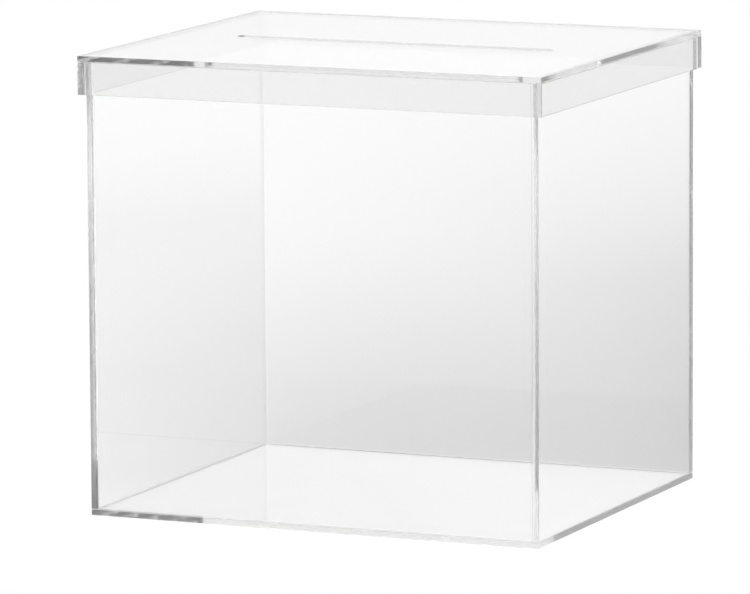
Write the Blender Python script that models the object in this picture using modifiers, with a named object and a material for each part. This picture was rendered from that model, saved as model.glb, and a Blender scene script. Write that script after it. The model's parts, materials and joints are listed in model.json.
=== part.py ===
"""A clear acrylic card box: an open box of five cemented panels, and a lift-off lid of five more.

The lid's top panel has a slot for cards, and its four skirts hang outside the box's walls.
Metres, +Z up. The box is centred on the origin and stands on Z = 0, with its wide front facing -Y.
Run with: blender --background --python part.py
"""

import math

import bmesh
import bpy

# Body, outside
BODY_WIDTH = 0.250
BODY_DEPTH = 0.215
BODY_HEIGHT = 0.236

# Sheet thicknesses
BASE_THICKNESS = 0.0029
WALL_THICKNESS = 0.0029
LID_THICKNESS = 0.0029
SKIRT_THICKNESS = 0.0029

# Lid
LID_HEIGHT = 0.020
SLOT_LENGTH = 0.178
SLOT_WIDTH = 0.006

# Fits
CEMENT_GAP = 0.0003
SEAT_GAP = 0.0003
LID_CLEARANCE = 0.0005

# Finish of the cut edges
EDGE_EASE = 0.0001
EDGE_STEPS = 2
EASE_ABOVE = math.radians(20.0)
SLOT_END_STEPS = 24

# Clear cast acrylic
ACRYLIC_COLOUR = (0.93, 0.95, 0.95, 1.0)
ACRYLIC_ROUGHNESS = 0.03
ACRYLIC_IOR = 1.49

# The walls stand on the base
WALL_BOTTOM = BASE_THICKNESS + CEMENT_GAP

# Heights of the lid's faces, from the rim that it rests on
LID_UNDERSIDE = BODY_HEIGHT + SEAT_GAP
LID_TOP = LID_UNDERSIDE + LID_THICKNESS
SKIRT_TOP = LID_UNDERSIDE - CEMENT_GAP
SKIRT_BOTTOM = LID_TOP - LID_HEIGHT

# Outside sizes of the lid, which follow the body
LID_WIDTH = BODY_WIDTH + 2.0 * (LID_CLEARANCE + SKIRT_THICKNESS)
LID_DEPTH = BODY_DEPTH + 2.0 * (LID_CLEARANCE + SKIRT_THICKNESS)


def clear_scene():
    for obj in list(bpy.data.objects):
        bpy.data.objects.remove(obj, do_unlink=True)


def new_collection(name):
    collection = bpy.data.collections.new(name)
    bpy.context.scene.collection.children.link(collection)
    return collection


def acrylic(name):
    """Clear acrylic for one piece."""
    material = bpy.data.materials.new(name)
    material.use_nodes = True
    shader = material.node_tree.nodes["Principled BSDF"]
    shader.inputs["Base Color"].default_value = ACRYLIC_COLOUR
    shader.inputs["Roughness"].default_value = ACRYLIC_ROUGHNESS
    shader.inputs["Metallic"].default_value = 0.0
    shader.inputs["IOR"].default_value = ACRYLIC_IOR
    shader.inputs["Transmission Weight"].default_value = 1.0
    return material


def block_mesh(name, size):
    """A box mesh of the given size, centred on its own origin."""
    mesh = bpy.data.meshes.new(name)
    bm = bmesh.new()
    bmesh.ops.create_cube(bm, size=1.0)
    bmesh.ops.scale(bm, vec=size, verts=bm.verts)
    bm.to_mesh(mesh)
    bm.free()
    return mesh


def ease_edges(obj):
    """Breaks the sharp edges, as a scraper and a polishing flame leave them."""
    bevel = obj.modifiers.new("eased_edges", "BEVEL")
    bevel.width = EDGE_EASE
    bevel.segments = EDGE_STEPS
    bevel.limit_method = "ANGLE"
    bevel.angle_limit = EASE_ABOVE


def panel(collection, name, low, high):
    """A flat sheet between two corners, placed by its centre."""
    size = [b - a for a, b in zip(low, high)]
    centre = [(a + b) / 2.0 for a, b in zip(low, high)]
    obj = bpy.data.objects.new(name, block_mesh(name, size))
    obj.location = centre
    obj.data.materials.append(acrylic("acrylic_" + name))
    collection.objects.link(obj)
    return obj


def four_sides(outer_width, outer_depth, thickness):
    """The plan of a frame of four sheets: the left and right run the full depth, the others fit between."""
    x = outer_width / 2.0
    y = outer_depth / 2.0
    inner_x = x - thickness - CEMENT_GAP
    return {
        "left": ((-x, -y), (-x + thickness, y)),
        "right": ((x - thickness, -y), (x, y)),
        "front": ((-inner_x, -y), (inner_x, -y + thickness)),
        "back": ((-inner_x, y - thickness), (inner_x, y)),
    }


def frame_of_sheets(collection, name, outer_width, outer_depth, thickness, bottom, top):
    """Four upright sheets round a rectangle, each its own object, named for its side."""
    sheets = []
    for side, (low, high) in four_sides(outer_width, outer_depth, thickness).items():
        sheet = panel(collection, name.format(side), (*low, bottom), (*high, top))
        ease_edges(sheet)
        sheets.append(sheet)
    return sheets


def slot_cutter(collection):
    """The card slot's shape, a bar with round ends, taller than the sheet that it cuts."""
    radius = SLOT_WIDTH / 2.0
    reach = SLOT_LENGTH / 2.0 - radius
    rim = []
    for end in (1.0, -1.0):
        for step in range(SLOT_END_STEPS + 1):
            angle = -math.pi / 2.0 + math.pi * step / SLOT_END_STEPS
            rim.append((end * (reach + radius * math.cos(angle)), end * radius * math.sin(angle), 0.0))

    mesh = bpy.data.meshes.new("slot_cutter")
    bm = bmesh.new()
    bm.faces.new([bm.verts.new(point) for point in rim])
    bm.to_mesh(mesh)
    bm.free()
    mesh.shade_smooth()

    cutter = bpy.data.objects.new("slot_cutter", mesh)
    depth = cutter.modifiers.new("through_the_sheet", "SOLIDIFY")
    depth.thickness = 3.0 * LID_THICKNESS
    depth.offset = 0.0
    cutter.location = (0.0, 0.0, (LID_UNDERSIDE + LID_TOP) / 2.0)
    cutter.display_type = "WIRE"
    cutter.hide_render = True
    collection.objects.link(cutter)
    return cutter


def make_body(collection):
    """The base sheet, and four walls that stand on it."""
    x = BODY_WIDTH / 2.0
    y = BODY_DEPTH / 2.0
    base = panel(collection, "base_panel", (-x, -y, 0.0), (x, y, BASE_THICKNESS))
    ease_edges(base)
    walls = frame_of_sheets(
        collection, "{}_wall", BODY_WIDTH, BODY_DEPTH, WALL_THICKNESS, WALL_BOTTOM, BODY_HEIGHT
    )
    return [base, *walls]


def make_lid(collection, cutters):
    """The slotted top sheet and its four skirts, which lift off together."""
    x = LID_WIDTH / 2.0
    y = LID_DEPTH / 2.0
    top = panel(collection, "lid_top_panel", (-x, -y, LID_UNDERSIDE), (x, y, LID_TOP))
    cut = top.modifiers.new("card_slot", "BOOLEAN")
    cut.operation = "DIFFERENCE"
    cut.solver = "EXACT"
    cut.object = slot_cutter(cutters)
    ease_edges(top)
    skirts = frame_of_sheets(
        collection, "lid_{}_skirt", LID_WIDTH, LID_DEPTH, SKIRT_THICKNESS, SKIRT_BOTTOM, SKIRT_TOP
    )
    return [top, *skirts]


def parent_to_empty(collection, name, location, pieces):
    """Groups pieces under an empty without moving them."""
    empty = bpy.data.objects.new(name, None)
    empty.location = location
    collection.objects.link(empty)
    bpy.context.view_layer.update()
    for piece in pieces:
        piece.parent = empty
        piece.matrix_parent_inverse = empty.matrix_world.inverted()


def main():
    clear_scene()
    parts = new_collection("acrylic_card_box")
    cutters = new_collection("cutters")
    body = make_body(parts)
    lid = make_lid(parts, cutters)
    parent_to_empty(parts, "box", (0.0, 0.0, 0.0), body)
    # The lid lifts along this empty's Z axis
    parent_to_empty(parts, "lid", (0.0, 0.0, LID_UNDERSIDE), lid)


main()
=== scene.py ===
import json
import math

import bmesh
import bpy
from mathutils import Matrix, Vector


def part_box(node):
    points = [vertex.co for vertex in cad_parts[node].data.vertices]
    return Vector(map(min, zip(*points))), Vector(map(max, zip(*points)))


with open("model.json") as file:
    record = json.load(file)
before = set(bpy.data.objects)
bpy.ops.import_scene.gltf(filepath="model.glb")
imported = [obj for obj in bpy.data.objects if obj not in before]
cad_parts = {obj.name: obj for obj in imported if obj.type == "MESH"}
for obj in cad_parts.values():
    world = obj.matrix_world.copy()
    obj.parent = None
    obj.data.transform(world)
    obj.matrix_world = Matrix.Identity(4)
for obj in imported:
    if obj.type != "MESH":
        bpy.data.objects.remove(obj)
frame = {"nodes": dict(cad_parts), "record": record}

RIGHT = Vector((1.0, 0.0, 0.0))
AWAY = Vector((0.0, 1.0, 0.0))
UP = Vector((0.0, 0.0, 1.0))

# The CAD's box, before anything is dressed
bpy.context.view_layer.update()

# The photograph's camera, fitted to the box's corners and edges but not to the right end of its slot, which
# lies a few pixels off: degrees, metres and millimetres
CAMERA_AZIMUTH = math.radians(23.758)
CAMERA_ELEVATION = math.radians(8.791)
CAMERA_ROLL = math.radians(-0.346)
CAMERA_DISTANCE = 3.6057
SENSOR_WIDTH = 36.0
FOCAL_LENGTH = 331.75
AIM_HEIGHT = 0.11815
AIM_RIGHT = -0.01043
AIM_UP = -0.01226
CLIP_END = 100.0

# Levels of the room, where 1 is white: as light on matt surfaces, as gloss sees it, and as guided light sees
# it above the horizon, below it and towards the backdrop. They are tuned to match the photograph
LAMP_ROOM_LEVEL = 0.75
PALE_ROOM_LEVEL = 0.6
DARK_ROOM_LEVEL = 0.04
DARK_LOW_LEVEL = 0.10
GUIDED_WHITE_LEVEL = 0.83
HORIZON_FADE = 0.03

# The backdrop: its direction in plan, in degrees from +Y towards -X, and its half width and fade for gloss
# and for guided light
BACKDROP_MIDDLE = 36.0
PALE_BACKDROP = (40.0, 30.0)
BRIGHT_BACKDROP = (16.0, 40.0)

# Light that has been mirrored more often than this is guided light, which runs inside a sheet. It meets a
# smaller table, whose gloss takes these shares of its light at these distances from the box's middle. This is
# a stand-in for the real studio, tuned to the pattern of light in the photograph's cut edges
GUIDED_TURNS = 2.5
GUIDED_TABLE_EDGE = 1.4
GUIDED_TABLE_FADE = 0.35
TABLE_GLOSS = (0.86, 0.30)
TABLE_GLOSS_REACH = (0.3, 1.0)
TABLE_GLOSS_ROUGHNESS = 0.1

# The floor: a white table, a hair below the box
FLOOR_RADIUS = 3.0
FLOOR_SIDES = 128
FLOOR_DROP = 0.0003
TABLE_EDGE = 2.3
TABLE_EDGE_FADE = 0.6
FLOOR_ALBEDO = 0.35

# Through the box, the table is greyer by painted shade: in a wide pool to its right, in a small pool that is
# a painted stand-in for its own shadow, and under its base. No studio was known, so these are fitted to the
# grey levels of the photograph.
# The pools are ellipses: a middle, to the camera's right and away from it, and radii the same ways. Both fade
# out between these distances, measured from the box's middle towards the camera, for the views from behind
WIDE_PAINTED_POOL = ((0.46, -0.6), (0.915, 3.88))
WIDE_PAINTED_POOL_SLOPE = 3.4
WIDE_PAINTED_POOL_POWER = 3.25
WIDE_PAINTED_POOL_DEPTH = 0.7
PAINTED_OWN_SHADOW = ((-0.046, -0.1), (0.225, 1.2))
PAINTED_OWN_SHADOW_DEPTH = 0.29
POOLS_END = (-0.1, 0.15)
UNDER_BOX_REACH = 2.0 * FLOOR_DROP
UNDER_BOX_PAINTED_SHADE = 0.3

# The lamp: a wide soft light from overhead and the left, which adds this much to a white surface
LAMP_LEVEL = 0.25
LAMP_DIRECTION = Vector((0.35, 0.25, -1.0)).normalized()
LAMP_ANGLE = math.radians(60.0)
FLOOR_OPEN_LIGHT = LAMP_ROOM_LEVEL + LAMP_LEVEL

# Cast acrylic sheet: dust and fine scratches scatter a little light at each face. The skirts are the same
# sheet, and their greyer colour is painted shade, there only to match the photograph
ACRYLIC_IOR = 1.49
ACRYLIC_CLEARNESS = 0.984
SHEET_TINT = 0.98
SKIRT_PAINTED_SHADE = 0.89
SHADOW_TINT = 0.93
FACE_ROUGHNESS = 0.01
SMUDGE_ROUGHNESS = 0.04
SMUDGE_SCALE = 14.0
SMUDGE_DETAIL = 5.0
SMUDGE_START = 0.52
SMUDGE_FULL = 0.72
EDGE_ROUGHNESS = 0.07
SCRAPED_ROUGHNESS = 0.11
SCRAPE_SCALE = 2500.0
WAVE_HEIGHT = 0.000003
WAVE_SCALE = 9.0
FINE_DETAIL = 1.0
PATTERN_STEP = Vector((1.7, 2.3, 0.9))

# A surface is a cut edge where the cosine between its normal and its sheet's thin axis is under this
EDGE_TURN = 0.9

# Solvent welds join the sheets without a surface between them. Light crosses a weld's thin gap almost
# square to it, by a low IOR, and takes its own direction again in the next sheet. Light that meets the
# groove of an upright weld from outside goes straight in
WELD_REACH = 0.00035
WELD_INSET = 0.0001
UPRIGHT_WELD_REACH = 0.00045
WELD_IOR = 0.1
GROOVE_IOR = 1.001
WELD_FACING = 0.02

# Guided light in the sheets' edges takes many turns
MOST_BOUNCES = 96


class Nodes:
    """A small helper that adds nodes to a tree and joins them up."""

    def __init__(self, owner):
        owner.use_nodes = True
        self.tree = owner.node_tree
        self.tree.nodes.clear()

    def add(self, kind, inputs=None, **settings):
        node = self.tree.nodes.new(kind)
        for name, value in settings.items():
            setattr(node, name, value)
        for name, value in (inputs or {}).items():
            self.feed(node.inputs[name], value)
        return node

    def feed(self, socket, value):
        if isinstance(value, bpy.types.NodeSocket):
            self.tree.links.new(value, socket)
        else:
            socket.default_value = value

    def math(self, operation, *values, clamp=False):
        node = self.add("ShaderNodeMath", operation=operation, use_clamp=clamp)
        for socket, value in zip(node.inputs, values):
            self.feed(socket, value)
        return node.outputs["Value"]

    def dot(self, vector, axis):
        node = self.add("ShaderNodeVectorMath", operation="DOT_PRODUCT")
        self.feed(node.inputs[0], vector)
        self.feed(node.inputs[1], axis)
        return node.outputs["Value"]

    def inside(self, point, low, high):
        """1 in a box, given by its lowest and highest corners, and 0 outside it."""
        offset = self.add("ShaderNodeVectorMath", operation="SUBTRACT")
        self.feed(offset.inputs[0], point)
        self.feed(offset.inputs[1], (low + high) / 2.0)
        reach = self.add("ShaderNodeVectorMath", operation="ABSOLUTE")
        self.feed(reach.inputs[0], offset.outputs["Vector"])
        past = self.add("ShaderNodeVectorMath", operation="SUBTRACT")
        self.feed(past.inputs[0], reach.outputs["Vector"])
        self.feed(past.inputs[1], (high - low) / 2.0)
        parts = self.add("ShaderNodeSeparateXYZ", {"Vector": past.outputs["Vector"]}).outputs
        furthest = self.math("MAXIMUM", self.math("MAXIMUM", parts["X"], parts["Y"]), parts["Z"])
        return self.math("LESS_THAN", furthest, 0.0)

    def inside_any(self, point, boxes):
        found = 0.0
        for low, high in boxes:
            found = self.math("MAXIMUM", found, self.inside(point, low, high))
        return found

    def ramp(self, value, start, end, low=0.0, high=1.0):
        """A smooth step from low at start to high at end."""
        node = self.add("ShaderNodeMapRange", interpolation_type="SMOOTHSTEP")
        for name, given in {
            "Value": value, "From Min": start, "From Max": end, "To Min": low, "To Max": high,
        }.items():
            self.feed(node.inputs[name], given)
        return node.outputs["Result"]

    def noise(self, place, scale, detail):
        inputs = {"Vector": place, "Scale": scale, "Detail": detail}
        return self.add("ShaderNodeTexNoise", inputs).outputs["Fac"]

    def mix(self, factor, first, second):
        """A mix of two values: the first at factor 0, the second at 1."""
        node = self.add("ShaderNodeMix", data_type="FLOAT")
        self.feed(node.inputs[0], factor)
        self.feed(node.inputs[2], first)
        self.feed(node.inputs[3], second)
        return node.outputs[0]

    def mix_shader(self, factor, first, second):
        """A mix of two shaders: the first at factor 0, the second at 1."""
        node = self.add("ShaderNodeMixShader", {"Fac": factor})
        self.feed(node.inputs[1], first)
        self.feed(node.inputs[2], second)
        return node.outputs["Shader"]


def grey(level):
    return (level, level, level, 1.0)


def plan_direction(degrees):
    """The level direction at an angle from +Y towards -X."""
    angle = math.radians(degrees)
    return Vector((-math.sin(angle), math.cos(angle), 0.0))


def room_level(nodes, direction, half_width, fade, away_level, backdrop_level):
    """One level towards the backdrop and another away from it."""
    return nodes.ramp(
        nodes.dot(direction, plan_direction(BACKDROP_MIDDLE)),
        math.cos(math.radians(half_width + fade)),
        math.cos(math.radians(half_width)),
        away_level,
        backdrop_level,
    )


def make_world():
    """White round the box and straight through it. Gloss sees a pale room, and guided light a dark one."""
    world = bpy.data.worlds.new("studio")
    bpy.context.scene.world = world
    nodes = Nodes(world)
    path = nodes.add("ShaderNodeLightPath").outputs
    direction = nodes.add("ShaderNodeTexCoord").outputs["Generated"]
    pale = room_level(nodes, direction, *PALE_BACKDROP, PALE_ROOM_LEVEL, 1.0)
    drop = nodes.dot(direction, -UP)
    below = nodes.ramp(drop, -HORIZON_FADE, HORIZON_FADE, DARK_ROOM_LEVEL, DARK_LOW_LEVEL)
    dark = room_level(nodes, direction, *BRIGHT_BACKDROP, below, GUIDED_WHITE_LEVEL)
    guided = nodes.math("GREATER_THAN", path["Glossy Depth"], GUIDED_TURNS)
    level = nodes.mix(guided, pale, dark)
    unturned = nodes.math("LESS_THAN", path["Glossy Depth"], 0.5)
    straight_through = nodes.math("MULTIPLY", path["Is Transmission Ray"], unturned)
    level = nodes.mix(straight_through, level, 1.0)

    seen_through = nodes.math("MAXIMUM", path["Is Glossy Ray"], path["Is Transmission Ray"])
    before_diffuse = nodes.math("LESS_THAN", path["Diffuse Depth"], 0.5)
    seen_through = nodes.math("MULTIPLY", seen_through, before_diffuse)
    level = nodes.mix(seen_through, LAMP_ROOM_LEVEL, level)
    level = nodes.mix(path["Is Camera Ray"], level, 1.0)
    background = nodes.add("ShaderNodeBackground", {"Color": level, "Strength": 1.0})
    output = nodes.add("ShaderNodeOutputWorld")
    nodes.feed(output.inputs["Surface"], background.outputs["Background"])


def reach_from(nodes, along_right, along_away, middle, radii):
    """How far a place on the table is from an ellipse's middle, in plan: 1 at its rim."""
    across = nodes.math("DIVIDE", nodes.math("SUBTRACT", along_right, middle[0]), radii[0])
    along = nodes.math("DIVIDE", nodes.math("SUBTRACT", along_away, middle[1]), radii[1])
    squares = nodes.math("ADD", nodes.math("POWER", across, 2.0), nodes.math("POWER", along, 2.0))
    return nodes.math("SQRT", squares)


def painted_light_on_floor(nodes, place):
    """The painted share of its light that each place on the table keeps: pools of painted shade, not real
    shadows.
    """
    right = nodes.dot(place, Vector((math.cos(CAMERA_AZIMUTH), math.sin(CAMERA_AZIMUTH), 0.0)))
    away = nodes.dot(place, Vector((-math.sin(CAMERA_AZIMUTH), math.cos(CAMERA_AZIMUTH), 0.0)))
    # Painted shade: a wide pool to the right, a small pool painted in for the box's own shadow, and a flat
    # grey under its base
    wide = nodes.math("SUBTRACT", 1.0, reach_from(nodes, right, away, *WIDE_PAINTED_POOL), clamp=True)
    wide = nodes.math("MULTIPLY", nodes.math("POWER", wide, WIDE_PAINTED_POOL_POWER), WIDE_PAINTED_POOL_SLOPE)
    wide = nodes.math("MINIMUM", wide, WIDE_PAINTED_POOL_DEPTH)
    shadow = nodes.ramp(reach_from(nodes, right, away, *PAINTED_OWN_SHADOW), 0.0, 1.0, PAINTED_OWN_SHADOW_DEPTH, 0.0)
    behind = nodes.ramp(nodes.math("MULTIPLY", away, -1.0), *POOLS_END, 1.0, 0.0)
    pool = nodes.math("MULTIPLY", nodes.math("ADD", wide, shadow), behind)
    low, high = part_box("base_panel")
    under_box = nodes.inside(place, low - UNDER_BOX_REACH * UP, high)
    pool = nodes.mix(under_box, pool, UNDER_BOX_PAINTED_SHADE)
    return nodes.math("SUBTRACT", 1.0, pool)


def floor_material():
    """White to the camera, with the box's faint shadow, and painted shade in places to rays that pass through
    it.
    """
    material = bpy.data.materials.new("table_white")
    nodes = Nodes(material)
    path = nodes.add("ShaderNodeLightPath").outputs
    place = nodes.add("ShaderNodeNewGeometry").outputs["Position"]
    # Rays that pass through the box see the painted shade on the table; the camera sees it white
    painted_shade_level = nodes.mix(path["Is Transmission Ray"], 1.0, painted_light_on_floor(nodes, place))
    glow_level = 1.0 - FLOOR_ALBEDO * FLOOR_OPEN_LIGHT
    glow = nodes.add("ShaderNodeEmission", {"Color": painted_shade_level, "Strength": glow_level})
    matt = nodes.add("ShaderNodeBsdfDiffuse", {"Color": grey(FLOOR_ALBEDO)})
    table = nodes.add("ShaderNodeAddShader")
    nodes.feed(table.inputs[0], glow.outputs["Emission"])
    nodes.feed(table.inputs[1], matt.outputs["BSDF"])

    # The light guided to the cut edges sees the studio mirrored in the table's glossy top
    radius = nodes.add("ShaderNodeVectorMath", operation="LENGTH")
    nodes.feed(radius.inputs[0], place)
    radius = radius.outputs["Value"]
    gloss = nodes.add("ShaderNodeBsdfGlossy", {"Color": grey(1.0), "Roughness": TABLE_GLOSS_ROUGHNESS})
    guided = nodes.math("GREATER_THAN", path["Glossy Depth"], GUIDED_TURNS)
    share = nodes.math("MULTIPLY", guided, nodes.ramp(radius, *TABLE_GLOSS_REACH, *TABLE_GLOSS))
    table = nodes.mix_shader(share, table.outputs["Shader"], gloss.outputs["BSDF"])

    # Past the table's edge, all but the camera sees the room below the horizon
    clear = nodes.add("ShaderNodeBsdfTransparent")
    past_edge = nodes.mix(
        guided,
        nodes.ramp(radius, TABLE_EDGE, TABLE_EDGE + TABLE_EDGE_FADE),
        nodes.ramp(radius, GUIDED_TABLE_EDGE, GUIDED_TABLE_EDGE + GUIDED_TABLE_FADE),
    )
    not_camera = nodes.math("SUBTRACT", 1.0, path["Is Camera Ray"])
    gone = nodes.math("MULTIPLY", past_edge, not_camera)
    surface = nodes.mix_shader(gone, table, clear.outputs["BSDF"])
    output = nodes.add("ShaderNodeOutputMaterial")
    nodes.feed(output.inputs["Surface"], surface)
    return material


def make_floor():
    mesh = bpy.data.meshes.new("floor")
    bm = bmesh.new()
    bmesh.ops.create_circle(bm, cap_ends=True, segments=FLOOR_SIDES, radius=FLOOR_RADIUS)
    bm.to_mesh(mesh)
    bm.free()
    floor = bpy.data.objects.new("floor", mesh)
    floor.data.materials.append(floor_material())
    floor.location.z = -FLOOR_DROP
    bpy.context.scene.collection.objects.link(floor)


def make_lamp():
    data = bpy.data.lights.new("soft_lamp", "SUN")
    data.angle = LAMP_ANGLE
    data.energy = LAMP_LEVEL * math.pi / -LAMP_DIRECTION.z
    lamp = bpy.data.objects.new("soft_lamp", data)
    lamp.rotation_mode = "QUATERNION"
    lamp.rotation_quaternion = LAMP_DIRECTION.to_track_quat("-Z", "Y")
    bpy.context.scene.collection.objects.link(lamp)


def acrylic(name, thin_axis, welds, tint_and_shade, seed):
    """Clear cast sheet: polished faces with faint smudges, finely scraped cut edges, and clear welds."""
    material = bpy.data.materials.new(name)
    nodes = Nodes(material)
    place = nodes.add("ShaderNodeTexCoord").outputs["Object"]
    geometry = nodes.add("ShaderNodeNewGeometry").outputs
    turned = nodes.math("ABSOLUTE", nodes.dot(geometry["True Normal"], thin_axis))
    on_edge = nodes.math("LESS_THAN", turned, EDGE_TURN)

    # Light from inside a sheet crosses a weld, and so does what has just crossed its gap square to it
    flat = nodes.inside_any(place, welds["flat"])
    upright = nodes.inside_any(place, welds["upright"])
    aslant = nodes.add("ShaderNodeLayerWeight", {"Blend": 0.5}).outputs["Facing"]
    crossing = nodes.math("MAXIMUM", geometry["Backfacing"], nodes.math("LESS_THAN", aslant, WELD_FACING))
    joined = nodes.math("MAXIMUM", upright, nodes.math("MULTIPLY", flat, crossing))
    weld_ior = nodes.mix(crossing, GROOVE_IOR, WELD_IOR)
    weld = nodes.add("ShaderNodeBsdfRefraction", {"Roughness": 0.0, "IOR": weld_ior})

    shifted = nodes.add("ShaderNodeVectorMath", operation="ADD")
    nodes.feed(shifted.inputs[0], place)
    nodes.feed(shifted.inputs[1], seed * PATTERN_STEP)
    place = shifted.outputs["Vector"]

    smudge = nodes.noise(place, SMUDGE_SCALE, SMUDGE_DETAIL)
    smudge = nodes.ramp(smudge, SMUDGE_START, SMUDGE_FULL)
    face_roughness = nodes.mix(smudge, FACE_ROUGHNESS, SMUDGE_ROUGHNESS)
    # The smudges lie outside, so light that turns inside the sheet meets a smooth face
    face_roughness = nodes.mix(geometry["Backfacing"], face_roughness, 0.0)
    scrape = nodes.noise(place, SCRAPE_SCALE, FINE_DETAIL)
    edge_roughness = nodes.mix(scrape, EDGE_ROUGHNESS, SCRAPED_ROUGHNESS)
    roughness = nodes.mix(on_edge, face_roughness, edge_roughness)

    waves = nodes.noise(place, WAVE_SCALE, FINE_DETAIL)
    bump = nodes.add("ShaderNodeBump", {"Height": waves, "Strength": 1.0, "Distance": WAVE_HEIGHT})
    # The base colour is each sheet's own faint grey, with painted shade on the skirts
    shader = nodes.add(
        "ShaderNodeBsdfPrincipled",
        {
            "Base Color": grey(tint_and_shade),
            "Roughness": roughness,
            "Metallic": 0.0,
            "IOR": ACRYLIC_IOR,
            "Transmission Weight": ACRYLIC_CLEARNESS,
            "Normal": bump.outputs["Normal"],
        },
    )
    sheet = nodes.mix_shader(joined, shader.outputs["BSDF"], weld.outputs["BSDF"])
    clear = nodes.add("ShaderNodeBsdfTransparent", {"Color": grey(SHADOW_TINT)})
    path = nodes.add("ShaderNodeLightPath").outputs
    surface = nodes.mix_shader(path["Is Shadow Ray"], sheet, clear.outputs["BSDF"])
    output = nodes.add("ShaderNodeOutputMaterial")
    nodes.feed(output.inputs["Surface"], surface)
    return material


def weld_boxes(name):
    """Where a panel is welded: the next panels' boxes, each reaching across the thin gap between the two."""
    low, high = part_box(name)
    boxes = {"flat": [], "upright": []}
    for panels in frame["record"]["behaviour"]["bodies"].values():
        if name not in panels:
            continue
        for other in panels:
            near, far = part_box(other)
            gaps = [max(near[side] - high[side], low[side] - far[side]) for side in range(3)]
            gap = max(gaps)
            if not 0.0 < gap < WELD_REACH:
                continue
            kind, reach, inset = "upright", UPRIGHT_WELD_REACH, 0.0
            if gap == gaps[2]:
                kind, reach, inset = "flat", WELD_REACH, WELD_INSET
            grown = Vector([reach if step == gap else -inset for step in gaps])
            boxes[kind].append((near - grown, far + grown))
    return boxes


def dress_panels():
    """Each panel gets its own acrylic, whose faces lie across its thinnest side."""
    for seed, name in enumerate(sorted(frame["nodes"])):
        low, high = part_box(name)
        size = high - low
        thin_axis = (RIGHT, AWAY, UP)[min(range(3), key=lambda side: size[side])]
        # The skirts' greyer colour is painted shade
        tint_and_shade = SKIRT_PAINTED_SHADE if name.endswith("_skirt") else SHEET_TINT
        for slot in frame["nodes"][name].material_slots:
            slot.material = acrylic("acrylic_" + name, thin_axis, weld_boxes(name), tint_and_shade, seed)


def make_camera():
    """The photograph's view, without a shift."""
    sin_a, cos_a = math.sin(CAMERA_AZIMUTH), math.cos(CAMERA_AZIMUTH)
    sin_e, cos_e = math.sin(CAMERA_ELEVATION), math.cos(CAMERA_ELEVATION)
    back = Vector((sin_a * cos_e, -cos_a * cos_e, sin_e))
    right = Vector((cos_a, sin_a, 0.0))
    up = back.cross(right)
    aim = Vector((0.0, 0.0, AIM_HEIGHT)) + AIM_RIGHT * right + AIM_UP * up
    data = bpy.data.cameras.new("camera")
    data.sensor_width = SENSOR_WIDTH
    data.lens = FOCAL_LENGTH
    data.clip_end = CLIP_END
    camera = bpy.data.objects.new("camera", data)
    camera.location = aim + CAMERA_DISTANCE * back
    rolled_right = math.cos(CAMERA_ROLL) * right + math.sin(CAMERA_ROLL) * up
    rolled_up = math.cos(CAMERA_ROLL) * up - math.sin(CAMERA_ROLL) * right
    camera.rotation_mode = "QUATERNION"
    camera.rotation_quaternion = Matrix((rolled_right, rolled_up, back)).transposed().to_quaternion()
    bpy.context.scene.collection.objects.link(camera)
    bpy.context.scene.camera = camera


def set_rendering():
    scene = bpy.context.scene
    scene.view_settings.view_transform = "Standard"
    cycles = scene.cycles
    cycles.max_bounces = MOST_BOUNCES
    cycles.glossy_bounces = MOST_BOUNCES
    cycles.transmission_bounces = MOST_BOUNCES
    cycles.transparent_max_bounces = MOST_BOUNCES
    cycles.blur_glossy = 0.0


set_rendering()
make_camera()
make_world()
make_floor()
make_lamp()
dress_panels()
